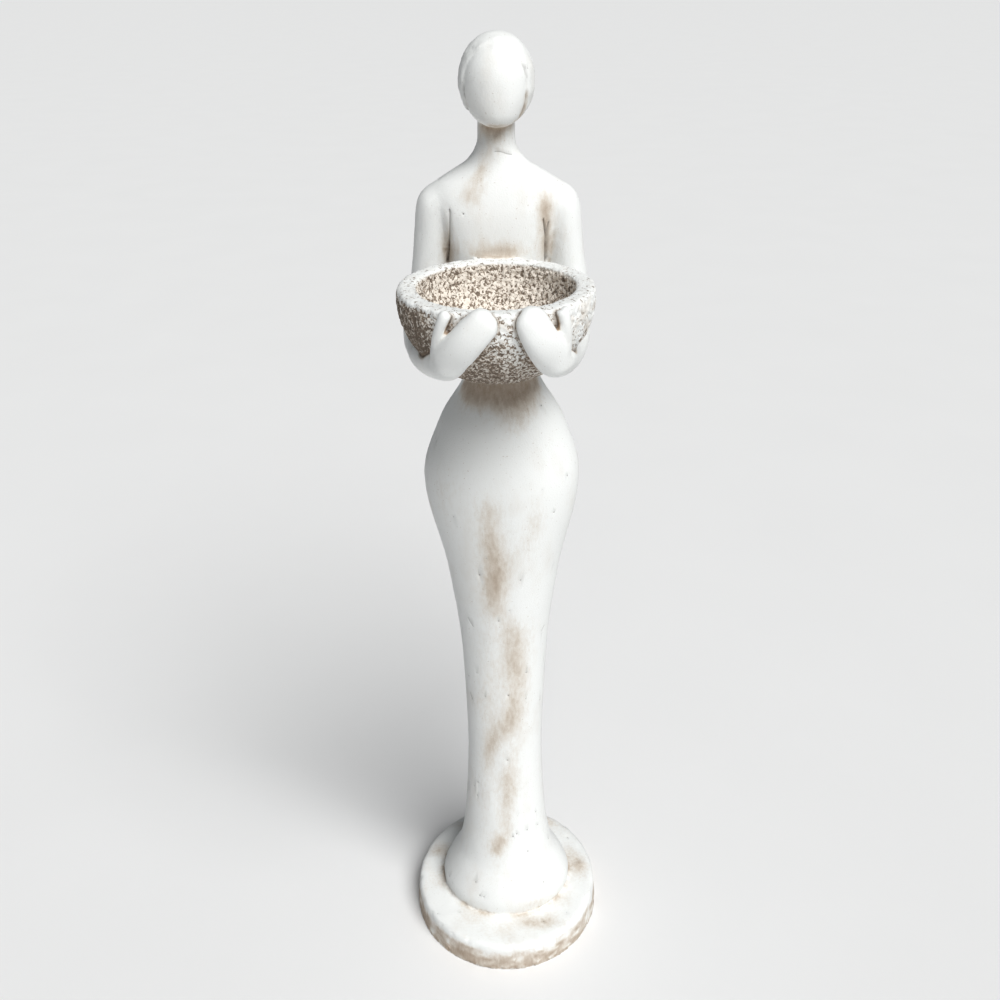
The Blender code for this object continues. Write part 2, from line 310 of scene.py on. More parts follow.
# The base: where it ends, where its side and underside are, and its relief with that round the hem
HEM_LEVELS = (BASE_THICKNESS + 0.0015, BASE_THICKNESS + 0.0003)
NEAR_BASE = BASE_THICKNESS + 0.03
TOP_LEVELS = (BASE_THICKNESS - 0.004, BASE_THICKNESS - 0.001)
SIDE_GAP = 0.0008
UNDERSIDE_GAP = 0.0004
UNDERSIDE_FACING = (-0.9, -0.7)
HEM_FADE = (0.0, 0.008)
SKIN_SUNK = 0.0006
PLASTER_HEIGHT = 0.0011
PLASTER_WIDTH = 0.0065
HEM_GROOVE_DEPTH = 0.0008
HEM_GROOVE_WIDTH = 0.0018
CHIPPED = (0.20, 0.50)
LOW_CHIP_DEPTH = 0.0019
LOW_CHIP_LEVELS = (0.007, 0.001)
LOW_CHIP_RADII = (BASE_RADIUS - 0.006, BASE_RADIUS - 0.001)
HIGH_CHIP_DEPTH = 0.0009
HIGH_CHIP_LEVELS = (0.033, 0.040)
HIGH_CHIP_RADII = (BASE_RADIUS - 0.012, BASE_RADIUS - 0.004)

# Lumps on the base's top: across, back, radius, height
BASE_LUMPS = (
    (0.1130, 0.0120, 0.0070, 0.0021),
    (0.1060, 0.0260, 0.0060, 0.0009),
    (-0.1010, 0.0440, 0.0080, 0.0011),
    (-0.1090, 0.0290, 0.0060, 0.0009),
    (-0.0955, -0.0010, 0.0032, 0.0028),
    (0.0400, -0.0880, 0.0100, 0.0010),
)

# Brown patina on the front, and shadow painted in brown under the chin and the bowl: across, up, half-width,
# half-height, strength
FRONT_STAINS_AND_SHADOWS = (
    (-0.0080, 0.9965, 0.0400, 0.0090, 0.85),
    (0.0130, 1.0040, 0.0200, 0.0070, 0.25),
    # The next three rows, under the chin, are partly patina and partly the chin's shadow, painted in brown
    (-0.0020, 1.1150, 0.0200, 0.0045, 1.40),
    (-0.0040, 1.1080, 0.0200, 0.0050, 0.58),
    (-0.0060, 1.0970, 0.0160, 0.0130, 0.38),
    (-0.0210, 1.0620, 0.0080, 0.0110, 0.60),
    (-0.0140, 1.0760, 0.0070, 0.0090, 0.55),
    (-0.0290, 1.0500, 0.0080, 0.0100, 0.62),
    (-0.0510, 1.0000, 0.0070, 0.0330, 0.62),
    (-0.0560, 0.9900, 0.0070, 0.0180, 0.30),
    (0.0485, 1.0060, 0.0090, 0.0380, 0.80),
    (0.0475, 1.0400, 0.0090, 0.0130, 0.60),
    (0.0660, 1.0050, 0.0100, 0.0250, 0.20),
    # The next five rows, just under the bowl, are partly patina and partly the shadow of the bowl and hands,
    # painted in brown
    (0.0000, 0.8560, 0.0600, 0.0130, 1.50),
    (0.0000, 0.8420, 0.0520, 0.0120, 0.80),
    (0.0140, 0.8300, 0.0300, 0.0140, 0.55),
    (0.0190, 0.8130, 0.0170, 0.0140, 0.35),
    (-0.0340, 0.8480, 0.0180, 0.0200, 1.00),
    (-0.0170, 0.7130, 0.0170, 0.0180, 0.42),
    (-0.0130, 0.6800, 0.0180, 0.0300, 0.48),
    (-0.0100, 0.6350, 0.0190, 0.0350, 0.62),
    (-0.0080, 0.5950, 0.0170, 0.0260, 0.60),
    (-0.0080, 0.5650, 0.0130, 0.0140, 0.40),
    (0.0330, 0.6800, 0.0160, 0.0240, 0.30),
    (0.0240, 0.6500, 0.0140, 0.0160, 0.22),
    (0.0060, 0.5350, 0.0160, 0.0260, 0.42),
    (0.0130, 0.5000, 0.0150, 0.0400, 0.52),
    (0.0130, 0.4350, 0.0150, 0.0450, 0.52),
    (0.0080, 0.3850, 0.0150, 0.0320, 0.50),
    (-0.0060, 0.3650, 0.0150, 0.0150, 0.52),
    (-0.0160, 0.3400, 0.0120, 0.0220, 0.50),
    (-0.0230, 0.3120, 0.0100, 0.0220, 0.45),
    (0.0120, 0.3200, 0.0130, 0.0320, 0.35),
    (0.0050, 0.2700, 0.0130, 0.0280, 0.45),
    (0.0010, 0.2350, 0.0120, 0.0280, 0.50),
    (-0.0010, 0.1950, 0.0110, 0.0220, 0.60),
    (-0.0080, 0.1650, 0.0130, 0.0120, 0.62),
    (-0.0130, 0.1500, 0.0110, 0.0090, 0.50),
    (-0.0220, 0.4500, 0.0160, 0.1600, 0.22),
    (-0.0300, 0.2400, 0.0120, 0.0700, 0.22),
    (0.0430, 0.0580, 0.0240, 0.0110, 0.40),
    (-0.0310, 1.1370, 0.0030, 0.0040, 0.50),
)

# Brown patina on the back, out of the photograph's sight, in keeping: the same columns
BACK_STAINS = (
    (0.0000, 1.0300, 0.0120, 0.0500, 0.45),
    (0.0480, 0.9900, 0.0090, 0.0450, 0.70),
    (-0.0480, 0.9900, 0.0090, 0.0450, 0.70),
    (0.0000, 0.8700, 0.0300, 0.0250, 0.60),
    (0.0060, 0.7300, 0.0120, 0.0600, 0.50),
    (-0.0050, 0.6100, 0.0140, 0.0600, 0.55),
    (0.0040, 0.4600, 0.0110, 0.0700, 0.45),
    (-0.0040, 0.2900, 0.0120, 0.0600, 0.50),
    (0.0020, 0.1500, 0.0140, 0.0350, 0.55),
    (0.0000, 1.1130, 0.0180, 0.0060, 0.70),
)

# Brown patina on the base's top: across, back, half-width, half-depth, strength
BASE_STAINS = (
    (-0.1000, 0.0420, 0.0220, 0.0160, 0.60),
    (-0.0950, -0.0050, 0.0090, 0.0260, 0.35),
    (0.1120, 0.0140, 0.0130, 0.0180, 0.65),
    (0.0960, 0.0300, 0.0110, 0.0240, 0.45),
    (0.0420, -0.0920, 0.0300, 0.0120, 0.65),
    (-0.0500, -0.0850, 0.0260, 0.0120, 0.35),
    (0.0860, -0.0500, 0.0120, 0.0160, 0.35),
    (-0.0200, -0.1050, 0.0250, 0.0110, 0.25),
    (0.0500, 0.0950, 0.0400, 0.0150, 0.40),
    (-0.0500, 0.0950, 0.0300, 0.0150, 0.30),
)
PATCH_SQUARENESS = 1.2
PATCH_FACING = (0.0, 0.5)
PATCHES_FROM = BASE_THICKNESS + 0.001
PATCHES_FRONT = -0.085

# The rest of the patina: at the hem, on the base's side and top, under the hair and on the legs
HEM_BROWN = 0.62
HEM_BROWN_WIDTH = 0.0050
HEM_BROWN_MEAN = 0.6
SIDE_FACING = (0.3, 0.7)
SIDE_TOP = BASE_THICKNESS - 0.003
SIDE_BROWN = 0.78
SIDE_SMEARS = 1.60
SIDE_BROWN_RIGHT = 0.45
SIDE_RIGHT = (0.0, -0.11)
SIDE_LEVELS = (0.044, 0.018)
FOOT_BROWN = 1.5
FOOT_LEVELS = (0.0060, 0.0010)
TOP_BROWN = 0.30
TOP_FACING = 0.8
TOP_CLOUDED = (-0.10, 0.70)
HAIR_BROWN = 0.9
HAIR_BROWN_WIDTH = 0.0030
HAIR_BROWN_LEVELS = (FACE_LEVEL + 0.004, FACE_LEVEL - 0.012)
HAIR_BROWN_SIDE = (0.010, 0.020)
PATINA_MEAN = 0.85
LEG_BROWN = 0.20
LEG_HEAD = (0.80, 0.70)
LEG_FOOT = (0.06, 0.12)
LEG_CLOUDED = (-0.10, 0.70)
CHIP_BROWN = 0.8

# What the skin's bend tells of creases and edges, away from the hem
CREASE_BEND = (0.00008, 0.00045)
EDGE_BEND = (0.00010, 0.00040)
BEND_FROM_HEM = (0.002, 0.009)

# How the shelter of near forms is felt out at each vertex
SKY_RAYS = 12
SKY_REACH = 0.045
SKY_LIFT = 0.0004
SKY_TURN = 7
SKY_PATTERNS = 5

# Colours of the stone, linear. PATINA and WARM_WASH also paint shadow under the chin and the bowl, and
# PIT_TAN, PIT_BROWN and WARM_WASH paint shade on the bowl's lower part and her right side
WHITEWASH = (0.835, 0.845, 0.835, 1.0)
WARM_WASH = (0.665, 0.615, 0.550, 1.0)
CREAM = (0.835, 0.785, 0.720, 1.0)
PATINA = (0.360, 0.270, 0.195, 1.0)
PIT_TAN = (0.380, 0.310, 0.250, 1.0)
PIT_BROWN = (0.160, 0.128, 0.100, 1.0)
DARK_CREASE = (0.060, 0.040, 0.028, 1.0)

# Noises of the material: size, then detail
CLOUDS = (0.040, 4.0)
CLOUDS_STRETCH = (0.8, 0.8, 1.6)
BRUSHED = (0.0040, 4.0)
BRUSHED_STRETCH = (1.0, 1.0, 2.6)
GRAIN = (0.0015, 3.0)
CURLS = (0.0027, 1.0)
CURLS_SWIRL = 0.8
PATCHES = (0.014, 3.0)
PINHOLES = (0.0019, 1.0)

# How much of the patina is left: the weights of what keeps it or wears it off, and of the uneven rubbing
UNEVEN_GRAIN = 0.5
UNEVEN_MEAN = 0.75
LEFT_IN_SHELTER = 0.80
LEFT_AT_SEAM = 0.65
LEFT_IN_CREASE = 0.50
LEFT_ON_EDGE = -0.35
WARM_UNEVEN = 0.50
RUBBED_UNEVEN = 0.55

# How the bowl's skin goes from crumb to pit: the weights of its marks and patches, and a fixed share. The
# mark of wear and painted light adds pits where shade is painted
ROUGH_WORN_AND_LIT = -0.42
ROUGH_PIT = 0.10
ROUGH_PATCHES = 0.16
ROUGH_START = 0.085

# What the material makes of its values: from, to, and what it gives there where that isn't 0 and 1
SHELTER_SPAN = (0.26, 0.62)
SEAM_SPAN = (0.72, 1.0)
CLOUDS_WARM = (0.50, 0.80, 0.0, 0.30)
LEFT_WARM = (0.02, 0.75)
RUBBED_SPAN = (0.42, 1.35, 0.0, 0.94)
PINHOLE_SPAN = (0.72, 0.78, 0.0, 0.40)
HOLLOW_SPAN = (0.455, 0.545)
PATCHES_WARM = (0.42, 0.66, 0.0, 0.60)
BROWN_WARM = (0.62, 0.30, 0.0, 0.80)
TAN_SPAN = (0.0, 1.0, 0.88, 0.50)
PIT_SPAN = (0.50, 0.66, 0.0, 0.85)
SEAM_BROWN = (0.80, 1.0, 0.0, 0.40)
CREASE_DARK = (0.60, 1.0, 0.0, 0.40)
SEAM_DARK = (0.970, 0.998, 0.0, 0.60)

# How uneven the seams' dark line is, how white the rim, and how dark the line round the face
SEAM_UNEVEN = 0.02
RIM_WHITE = 0.8
HAIRLINE_DARK = 0.5

# The stone's finish: the roughness of its wash, and of its patina and its bowl, its shine and its grain
ROUGHNESS = (0.62, 0.92)
SHINE = 0.35
GRAIN_STRENGTH = 0.45
GRAIN_DEPTH = 0.0006
HOLLOW_GRAIN = -1.6

# The stage: a pale floor in two close colours, a soft key light, a faint sky, and the picture's exposure
FLOOR_COLOURS = ((0.81, 0.81, 0.81, 1), (0.83, 0.83, 0.83, 1))
FLOOR_CLOUDS = (0.30, 2.0)
FLOOR_RADIUS = 60.0
FLOOR_SIDES = 96
FLOOR_DROP = 0.0005
FLOOR_ROUGHNESS = 0.9
FLOOR_SHINE = 0.1
KEY_TOWARDS = (0.40, -0.68, 0.98)
KEY_STRENGTH = 3.50
KEY_SOFTNESS = math.radians(40)
KEY_COLOUR = (1.0, 0.998, 0.99)
SKY_COLOUR = (0.90, 0.95, 1.0, 1.0)
SKY_STRENGTH = 0.12
EXPOSURE = 0.05
GAMMA = 0.85

# The camera, where the photographer stood
EYE = Vector((-0.0021, -1.0296, 1.2600))
EYE_PITCH = math.radians(90 - 29)
EYE_ROLL = math.radians(-0.77)
SENSOR = 36.0
FOCAL_LENGTH = 35.28


def smoothstep(start, end, values):
    t = np.clip((values - start) / (end - start), 0, 1)
    return t * t * (3 - 2 * t)


def bump(values, width):
    """1 where the values are zero, and less the further they are from it."""
    return np.exp(-((values / width) ** 2))


def noise_field(co, name, where=None):
    """The named noise at each point, and 0 outside the chosen points."""
    found = np.zeros(len(co))
    chosen = np.arange(len(co)) if where is None else np.flatnonzero(where)
    for size, seed, strength, stretch in NOISES[name]:
        shift = Vector([step * seed for step in SEED_STEP])
        scaled = co[chosen] / (np.array(stretch) * size)
        found[chosen] += strength * np.array([noise.noise(Vector(p) + shift) for p in scaled])
    return found


class Skin:
    """The statue's surface as arrays: places, normals and which vertices are neighbours."""

    def __init__(self, mesh):
        self.mesh = mesh
        count = len(mesh.vertices)
        self.co = np.empty(count * 3)
        mesh.vertices.foreach_get("co", self.co)
        self.co = self.co.reshape(count, 3)
        ends = np.empty(len(mesh.edges) * 2, np.int32)
        mesh.edges.foreach_get("vertices", ends)
        ends = ends.reshape(-1, 2)
        self.here = np.concatenate([ends[:, 0], ends[:, 1]])
        self.there = np.concatenate([ends[:, 1], ends[:, 0]])
        self.degree = np.maximum(np.bincount(self.here, minlength=count), 1)
        self.update()

    def update(self):
        """Writes the places to the mesh and reads its normals."""
        self.mesh.vertices.foreach_set("co", self.co.ravel())
        self.mesh.update()
        self.normal = np.empty(len(self.co) * 3)
        self.mesh.vertices.foreach_get("normal", self.normal)
        self.normal = self.normal.reshape(-1, 3)

    def spread(self, values, steps):
        """Evens out values between neighbours."""
        values = np.array(values, float)
        columns = values.reshape(len(values), -1)
        for _ in range(steps):
            for k in range(columns.shape[1]):
                column = columns[:, k]
                around = np.bincount(self.here, column[self.there], len(column)) / self.degree
                columns[:, k] = column + SMOOTHING * (around - column)
        return values

    def softened(self, steps):
        """The places with their small forms evened out, and the large forms as full as before."""
        soft = self.spread(self.co, steps)
        return soft + self.spread(self.co - soft, steps)

    def push(self, distance):
        """Moves the surface outwards."""
        self.co += self.normal * distance[:, None]
        self.update()

    def store(self, name, values):
        attribute = self.mesh.attributes.new(name, "FLOAT", "POINT")
        attribute.data.foreach_set("value", np.ascontiguousarray(values, dtype=np.float32))

    def taken(self, name):
        """The values stored under this name, which is then free."""
        values = np.empty(len(self.co), np.float32)
        self.mesh.attributes[name].data.foreach_get("value", values)
        self.mesh.attributes.remove(self.mesh.attributes[name])
        return values.astype(float)

    def gap_to_edge(self, inside):
        """How far each point is from the line where this part of the skin ends, up to a limit."""
        across = inside[self.here] & ~inside[self.there]
        middles = (self.co[self.here[across]] + self.co[self.there[across]]) / 2
        tree = KDTree(len(middles))
        for index, middle in enumerate(middles):
            tree.insert(middle, index)
        tree.balance()
        gaps = np.full(len(self.co), LINE_REACH)
        low, high = middles.min(axis=0) - LINE_REACH, middles.max(axis=0) + LINE_REACH
        for i in np.flatnonzero(((self.co > low) & (self.co < high)).all(axis=1)):
            gaps[i] = tree.find(self.co[i])[2]
        return np.minimum(gaps, LINE_REACH)


def new_object(name, mesh):
    obj = bpy.data.objects.new(name, mesh)
    bpy.context.scene.collection.objects.link(obj)
    return obj


def evaluated_mesh(obj):
    """The object's mesh with its modifiers. The object is removed."""
    graph = bpy.context.evaluated_depsgraph_get()
    mesh = bpy.data.meshes.new_from_object(obj.evaluated_get(graph))
    bpy.data.objects.remove(obj)
    return mesh


def solid_surface(node):
    """A copy of the solid's surface, its faces joined to each other."""
    mesh = node.data.copy()
    mesh.materials.clear()
    bm = bmesh.new()
    bm.from_mesh(mesh)
    bmesh.ops.remove_doubles(bm, verts=bm.verts, dist=WELD)
    bm.to_mesh(mesh)
    bm.free()
    return mesh


def evened(mesh):
    """The same surface in small, even faces."""
    obj = new_object("even", mesh)
    remesh = obj.modifiers.new("even", "REMESH")
    remesh.mode = "VOXEL"
    remesh.voxel_size = VOXEL
    return evaluated_mesh(obj)


def along_path(points, path, values):
    """How far points are from a line of straight stretches, and the line's values where it is nearest."""
    path, values = np.array(path), np.array(values)
    nearest = np.full(len(points), np.inf)
    found = np.zeros((len(points), values.shape[1]))
    for k in range(len(path) - 1):
        step = path[k + 1] - path[k]
        share = np.clip((points - path[k]) @ step / (step @ step), 0, 1)[:, None]
        gap = np.linalg.norm(points - path[k] - share * step, axis=1)
        closer = gap < nearest
        nearest[closer] = gap[closer]
        found[closer] = (values[k] + share * (values[k + 1] - values[k]))[closer]
    return nearest, found


def distance_to_path(points, path):
    return along_path(points, path, np.zeros((len(path), 1)))[0]


def across_up(co):
    return co[:, [0, 2]]


def on_front(co):
    """The front of the figure itself, behind the bowl and the hands."""
    return (co[:, 1] < 0) & (co[:, 1] > FIGURE_FRONT)


def hole_places(skin):
    """The air holes as places on the skin, each with its radius."""
    places = []
    front = np.flatnonzero(skin.normal[:, 1] < FACES_FRONT[0])
    seen = across_up(skin.co[front])
    for across, up, radius in FRONT_HOLES:
        near = front[np.argmin(np.linalg.norm(seen - (across, up), axis=1))]
        places.append((skin.co[near], radius))
    chance = np.random.default_rng(HOLE_SEED)
    for pick in chance.integers(0, len(skin.co), RANDOM_HOLES):
        if bowl_part(skin.co[pick : pick + 1])[0] < OFF_BOWL:
            places.append((skin.co[pick], chance.uniform(*HOLE_SIZES)))
    return places


def needs_finer_faces(co, holes):
    """Whether each point is near a crack, a slot or a hole."""
    near = np.zeros(len(co), bool)
    slot_paths = tuple(np.array(rows)[:, :2] for rows in SLOTS)
    for path in CRACKS + slot_paths:
        near |= (distance_to_path(across_up(co), path) < FEATURE_REACH) & on_front(co)
    for place, radius in holes:
        near |= np.linalg.norm(co - place, axis=1) < radius + FEATURE_REACH
    return near


def refine(mesh, near):
    """Cuts each edge between these vertices into four."""
    bm = bmesh.new()
    bm.from_mesh(mesh)
    bm.verts.ensure_lookup_table()
    chosen = {bm.verts[i] for i in np.flatnonzero(near)}
    edges = [e for e in bm.edges if e.verts[0] in chosen and e.verts[1] in chosen]
    bmesh.ops.subdivide_edges(bm, edges=edges, cuts=FEATURE_CUTS, use_grid_fill=True)
    bmesh.ops.triangulate(bm, faces=[f for f in bm.faces if len(f.verts) > 4])
    bm.to_mesh(mesh)
    bm.free()


def bowl_level(below):
    """How far the bowl's skin is from the middle of its rim, at an angle below the rim."""
    c, s = np.cos(below), np.sin(below)
    square = (c / BOWL_RADIUS) ** 2 + (s / BOWL_BELOW_BELLY) ** 2
    linear = s * BOWL_BELLY / BOWL_BELOW_BELLY**2
    rest = 1 - (BOWL_BELLY / BOWL_BELOW_BELLY) ** 2
    return (linear + np.sqrt(linear**2 + square * rest)) / square


def on_bowl(around, below):
    """Places on the bowl's skin, at degrees round from the front and degrees below the rim."""
    around, below = np.radians(around), np.radians(below)
    way = np.stack([np.sin(around) * np.cos(below), -np.cos(around) * np.cos(below), -np.sin(below)], axis=1)
    return BOWL_CENTRE + way * bowl_level(below)[:, None]


def off_bowl(co):
    """Each point's degrees below the rim, distance off the bowl's skin, place on it, and way outwards."""
    away = co - BOWL_CENTRE
    length = np.maximum(np.linalg.norm(away, axis=1), 1e-6)
    way = away / length[:, None]
    below = np.arcsin(np.clip(-way[:, 2], -1, 1))
    level = bowl_level(below)
    return np.degrees(below), length - level, BOWL_CENTRE + way * level[:, None], way


def along_limb(foot, rows):
    """How far places on the bowl are from a hand's or a thumb's middle line, and its sizes there."""
    table = np.array(rows)
    return along_path(foot, on_bowl(table[:, 0], table[:, 1]), table[:, 2:])


def hand_height(foot):
    """How far the hands stand off the bowl's skin over places on it."""
    height = np.zeros(len(foot))
    for hand in HANDS:
        away, found = along_limb(foot, hand)
        width, thick = found.T
        full = (1 - np.clip(away / width, 0, 1) ** HAND_SQUARENESS) ** (1 / HAND_SQUARENESS)
        height = np.maximum(height, thick * full)
    for thumb in THUMBS:
        away, found = along_limb(foot, thumb)
        radius = found[:, 0]
        crown = THUMB_PROUD + np.sqrt(np.clip(radius**2 - away**2, 0, None))
        height = np.maximum(height, crown * (away < radius))
    return height


def shape_hands(skin):
    """Gives the hands full, steep-sided forms, with an open notch between finger and thumb."""
    below, proud, foot, way = off_bowl(skin.co)
    height = hand_height(foot)
    outer = (proud > HAND_PROUD) | ((height > 0) & (proud > -HAND_SUNK))
    there = outer & (proud < HAND_REACH) & (skin.co[:, 1] < BOWL_CENTRE[1])
    facing = np.einsum("ij,ij->i", skin.normal, way)
    share = there * smoothstep(*HAND_END_DEGREES, below)
    share *= np.maximum(smoothstep(*HAND_FACING, facing), smoothstep(*HAND_RIM_DEGREES, below))
    skin.co += way * ((height - proud) * share)[:, None]
    skin.update()


def ellipse_gap(out, up, radius, depth):
    """Roughly how far outside an ellipse a point is."""
    return (np.hypot(out / radius, up / depth) - 1) * min(radius, depth)


def bowl_gaps(co):
    """Each point's distance from the bowl's axis, its level, and its gaps to the outside and the hollow."""
    x, y, z = (co - BOWL_CENTRE).T
    out = np.hypot(x, y)
    outside = ellipse_gap(out, z + BOWL_BELLY, BOWL_RADIUS, BOWL_BELOW_BELLY)
    hollow_depth = BOWL_HEIGHT - BOWL_FLOOR - BOWL_RIM_ROUND
    hollow = ellipse_gap(out, z + BOWL_RIM_ROUND, RIM_INNER, hollow_depth)
    return out, z, outside, hollow


def bowl_part(co):
    """1 on the bowl's rough skin, 0 elsewhere."""
    out, z, outside, hollow = bowl_gaps(co)
    below_rim = z < SHELL_TOP
    shell = smoothstep(*SHELL_GAP, np.abs(outside)) * below_rim
    inner = smoothstep(*INNER_GAP, hollow) * below_rim
    rim_top = np.where(co[:, 1] > CHEST_AT_RIM, RIM_TOP_AT_CHEST, RIM_TOP)
    on_rim = (z > -RIM_BAND) & (z < rim_top) & (out > RIM_INNER - RIM_SPARE)
    rim = smoothstep(*RIM_OUTER, out) * on_rim
    return np.maximum(np.maximum(shell, inner), rim)


def hollow_part(co):
    """1 inside the bowl's hollow."""
    hollow = bowl_gaps(co)[3]
    return smoothstep(*HOLLOW_GAP, hollow) * (co[:, 2] < BOWL_CENTRE[2] - RIM_SPARE)


def rim_part(co):
    """1 on the bowl's rim, 0 a little way down its wall."""
    out, z, _, _ = bowl_gaps(co)
    return smoothstep(*RIM_WIDE, out) * smoothstep(*RIM_LOW, z)


def bowl_brown(co):
    """How much of the bowl's skin is brown: most low down and on her right, least on its rim. Its extra
    brown low down and on her right is painted shade, and its paler left is painted light.
    """
    across = (co[:, 0] - BOWL_CENTRE[0]) / BOWL_RADIUS
    sunk = (BOWL_CENTRE[2] - co[:, 2]) / BOWL_HEIGHT
    to_left = across.clip(0, 1)
    outside = OUTSIDE_BROWN + RIGHT_BROWN * smoothstep(*RIGHT_SIDE, across)
    outside = outside - LEFT_PALER * to_left + LOW_BROWN * (sunk - LOW_FROM)
    outside *= smoothstep(*UNDER_RIM, sunk)
    within = INSIDE_BROWN - INSIDE_LEFT_PALER * to_left
    inside, rim = hollow_part(co), rim_part(co)
    return (outside * (1 - inside) + within * inside) * (1 - rim) + RIM_BROWN * rim


def face_part(co):
    """1 on the smooth face, 0 on the hair and below the chin."""
    x, y, z = co.T
    wide = np.abs((x - FACE_ACROSS) / FACE_HALF_WIDTH) ** FACE_SQUARENESS
    tall = np.where(z > FACE_LEVEL, (z - FACE_LEVEL) / FACE_RISE, (FACE_LEVEL - z) / FACE_FALL)
    inside = smoothstep(*FACE_BORDER, wide + tall**FACE_SQUARENESS)
    return inside * (y < 0) * (z > CHIN_LEVEL)


def hair_part(co):
    """1 on the hair, 0 on the face and the neck."""
    y, z = co[:, 1], co[:, 2]
    end = HAIR_END - HAIR_SLOPE * (y + HAIR_FRONT)
    return (1 - face_part(co)) * smoothstep(end + HAIR_FADE[0], end + HAIR_FADE[1], z)


def hair_line_dark(co):
    """Where the line round the face has kept its brown: in short stretches of its sides."""
    x, _, z = co.T
    sides = smoothstep(*HAIRLINE_SIDES, np.abs(x)) * smoothstep(*HAIRLINE_FOOT, z)
    sides *= smoothstep(*HAIRLINE_HEAD, z)
    return sides * smoothstep(*HAIRLINE_BREAKS, noise_field(co, "hairline breaks", sides > 0))


def base_part(co):
    """1 on the base, 0 from the hem up."""
    return smoothstep(*HEM_LEVELS, co[:, 2])


def round_base(skin):
    """Makes the base's side truly round, and its underside flat."""
    x, y, z = skin.co.T
    out = np.hypot(x, y)
    true = BASE_RADIUS - BASE_TAPER * z / BASE_THICKNESS
    side = (z < BASE_THICKNESS - BASE_EDGE) & (out > true - SIDE_GAP)
    skin.co[side, :2] *= (true[side] / out[side])[:, None]
    skin.co[z < UNDERSIDE_GAP, 2] = 0.0
    skin.update()


def without_facets(skin):
    """Evens out the solid's facets. Forms that this would move further are true edges, and stay."""
    skin.co = skin.softened(FINE_STEPS)
    change = skin.softened(SOFT_STEPS) - skin.co
    far = np.linalg.norm(change, axis=1) / FACET_DEPTH
    skin.co += change / (1 + skin.spread(far, FINE_STEPS) ** FACET_SHARPNESS)[:, None]
    skin.update()


def bowl_relief(skin):
    """The bowl's coarse, pitted skin. Returns how deep each point lies in a pit, 0 to 1."""
    co = skin.co
    part = bowl_part(co)
    crumbs = noise_field(co, "bowl crumbs", part > 0)
    swell = noise_field(co, "bowl swell", part > 0)
    wear = noise_field(co, "rim wear", part > 0)
    height = np.tanh(CRUMB_SHARPNESS * (crumbs + CRUMB_SHARE + CRUMB_DRIFT * swell))
    depth = (1 - height) / 2 * part
    out, z, _, _ = bowl_gaps(co)
    tall = (PIT_DEPTH + PIT_DEEPER_INSIDE * hollow_part(co)) * (1 - RIM_SMOOTHER * rim_part(co))
    edges = bump(out - RIM_RADIUS, RIM_EDGE_WIDTH) + bump(out - RIM_INNER, RIM_EDGE_WIDTH)
    edges *= smoothstep(*RIM_EDGE_LEVELS, z)
    skin.push(part * (-tall * depth + BOWL_SWELL * swell + edges * (RIM_WEAR * wear - RIM_WORN)))
    return depth


def head_relief(co, hairline):
    """How far the hair's lumps stand proud and the face lies sunk."""
    lumps = noise_field(co, "hair lumps", co[:, 2] > HEAD_FROM)
    sunk = FACE_SUNK * smoothstep(*CHIN_FADE, co[:, 2])
    near_face = HAIR_FAR_FROM_FACE + HAIR_NEAR_FACE * bump(hairline, HAIR_NEAR_WIDTH)
    return hair_part(co) * HAIR_RELIEF * near_face * (lumps - HAIR_SUNK) - face_part(co) * sunk


def hairline_groove(co, hairline):
    """How deep the line round the face is, from the chin up."""
    return HAIRLINE_DEPTH * bump(hairline, HAIRLINE_WIDTH) * smoothstep(*HAIRLINE_FROM, co[:, 2])


def leg_groove(co, normal):
    """How deep the slow groove down the front of the legs is."""
    z = co[:, 2]
    legs = smoothstep(*GROOVE_FOOT, z) * smoothstep(*GROOVE_HEAD, z)
    middle = GROOVE_MIDDLE + GROOVE_SWAY * np.sin(z / GROOVE_WAVE)
    groove = bump(co[:, 0] - middle, GROOVE_WIDTH)
    return GROOVE_DEPTH * smoothstep(*FACES_FRONT, normal[:, 1]) * legs * groove


def casting_relief(skin, seam, hairline):
    """The slight unevenness of a hand-finished casting, and its slots. Returns how dark they are."""
    co = skin.co
    plain = 1 - bowl_part(co)
    move = noise_field(co, "casting swell") + head_relief(co, hairline)
    move -= hairline_groove(co, hairline)
    move -= leg_groove(co, skin.normal)
    move *= plain
    slot = np.zeros(len(co))
    dark = np.zeros(len(co))
    near_chest = (co[:, 1] < SLOT_BACK) & (co[:, 1] > SLOT_FRONT)
    for rows in SLOTS:
        table = np.array(rows)
        away, found = along_path(across_up(co), table[:, :2], table[:, 2:])
        here = bump(away, found[:, 0]) * near_chest * plain * smoothstep(*SLOT_FOOT, co[:, 2])
        slot = np.maximum(slot, here)
        dark = np.maximum(dark, here * found[:, 1])
    move -= SLOT_DEPTH * slot + SEAM_DEPTH * bump(seam, SEAM_WIDTH)
    skin.push(move)
    crumbled = SLOT_DARK_MEAN + noise_field(co, "slot crumbs", slot > SLOT_EDGE)
    return dark * np.clip(crumbled, SLOT_DARK_LEAST, 1)


